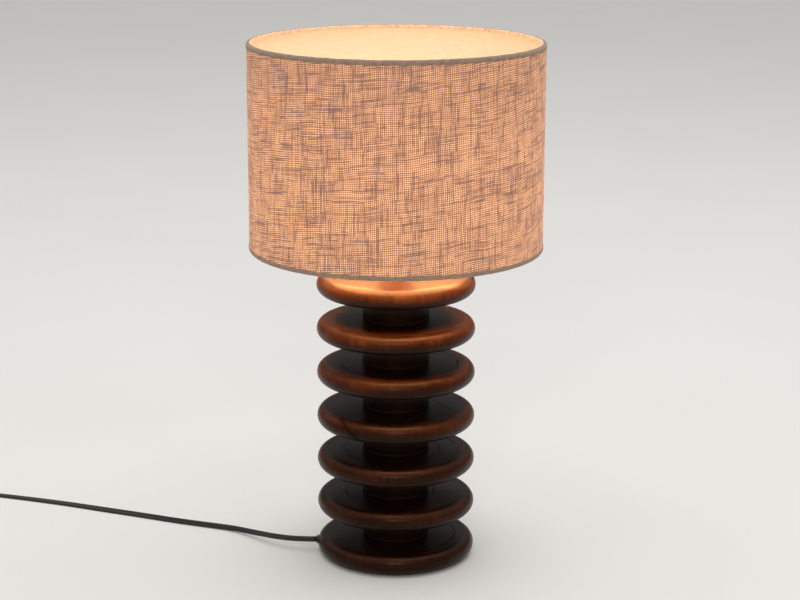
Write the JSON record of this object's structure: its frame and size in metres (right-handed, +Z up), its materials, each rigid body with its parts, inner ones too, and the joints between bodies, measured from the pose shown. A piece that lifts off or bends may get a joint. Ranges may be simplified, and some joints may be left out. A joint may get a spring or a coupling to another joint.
{
  "type": "table lamp",
  "caption": "Table lamp with a stack of turned wooden discs, a cloth drum shade, a screw lampholder with a bulb, and a flex with an in-line rocker switch and a plug.",
  "frame": {"origin": "centre of the lamp's foot, on the surface it stands on", "axes": "+Z up along the stem, the flex leaves the foot towards -X, and -Y is the side the picture is taken from"},
  "size_m": [0.6923, 0.3163, 0.5411],
  "materials": {
    "wood": "satin stained",
    "felt": "matte",
    "plated_steel": "zinc plated",
    "dark_metal": "satin",
    "dark_plastic": "satin",
    "pale_plastic": "matte",
    "flex_cover": "satin",
    "holder_plastic": "satin",
    "ceramic": "glazed",
    "brass": "plain",
    "wire_cover": "matte",
    "bulb_glass": "clear warm",
    "filament": "glowing when lit",
    "bulb_metal": "plain",
    "shade_cloth": "slubby linen look",
    "shade_lining": "matte",
    "white_metal": "satin",
    "rocker_plastic": "satin",
    "plug_metal": "plated"
  },
  "bodies": {
    "base": {"disc_1": "wood", "disc_2": "wood", "disc_3": "wood", "disc_4": "wood", "disc_5": "wood", "disc_6": "wood", "disc_7": "wood", "neck_1": "wood", "neck_2": "wood", "neck_3": "wood", "neck_4": "wood", "neck_5": "wood", "neck_6": "wood", "felt_pad": "felt", "threaded_tube": "plated_steel", "bottom_washer": "plated_steel", "bottom_nut": "plated_steel", "top_washer": "plated_steel", "top_nut": "plated_steel", "tube_sleeve": "dark_metal", "flex_bush": "dark_plastic", "flex_grip": "pale_plastic", "flex_grip_screws": "plated_steel", "flex_inside": "flex_cover", "holder_cap": "holder_plastic", "holder_insert": "ceramic", "holder_skirt": "holder_plastic", "centre_contact": "brass", "side_contact": "brass", "holder_terminals": "brass", "holder_terminal_screws": "plated_steel", "holder_wires": "wire_cover", "switch_base": "dark_plastic", "switch_cover": "dark_plastic", "switch_terminals": "brass", "switch_wires": "wire_cover", "switch_flex_ends": "flex_cover", "switch_flex_clamps": "dark_plastic", "switch_small_screws": "plated_steel", "switch_housing_screws": "plated_steel", "flex_to_switch": "flex_cover", "flex_coil": "flex_cover", "flex_to_coil": "flex_cover", "flex_to_plug": "flex_cover", "plug_body": "dark_plastic", "plug_pins": "plug_metal"},
    "shade": {"shade_cloth": "shade_cloth", "shade_lining": "shade_lining", "shade_top_ring": "white_metal", "shade_bottom_ring": "white_metal", "shade_spokes": "white_metal", "shade_fitter": "white_metal"},
    "clamp_ring": {"shade_clamp_ring": "holder_plastic"},
    "bulb": {"bulb_glass": "bulb_glass", "bulb_filaments": "filament", "bulb_cap": "bulb_metal", "bulb_insulator": "dark_plastic", "bulb_tip": "bulb_metal"},
    "rocker": {"switch_rocker": "rocker_plastic", "switch_moving_contact": "brass"}
  },
  "joints": [
    {"name": "switch_rocker", "type": "hinge", "parent": "base", "child": "rocker", "pos_m": [-0.528, 0.06, 0.0115], "axis": [-1, 0, 0], "range_deg": [0, 16]},
    {"name": "shade_turn", "type": "hinge", "parent": "base", "child": "shade", "pos_m": [0, 0, 0.3513], "axis": [0, 0, 1], "continuous": true},
    {"name": "clamp_ring_turn", "type": "hinge", "parent": "base", "child": "clamp_ring", "pos_m": [0, 0, 0.3571], "axis": [0, 0, 1], "continuous": true},
    {"name": "bulb_unscrew", "type": "slide", "parent": "base", "child": "bulb", "axis": [0, 0, 1], "range_m": [0, 0.0254]}
  ]
}
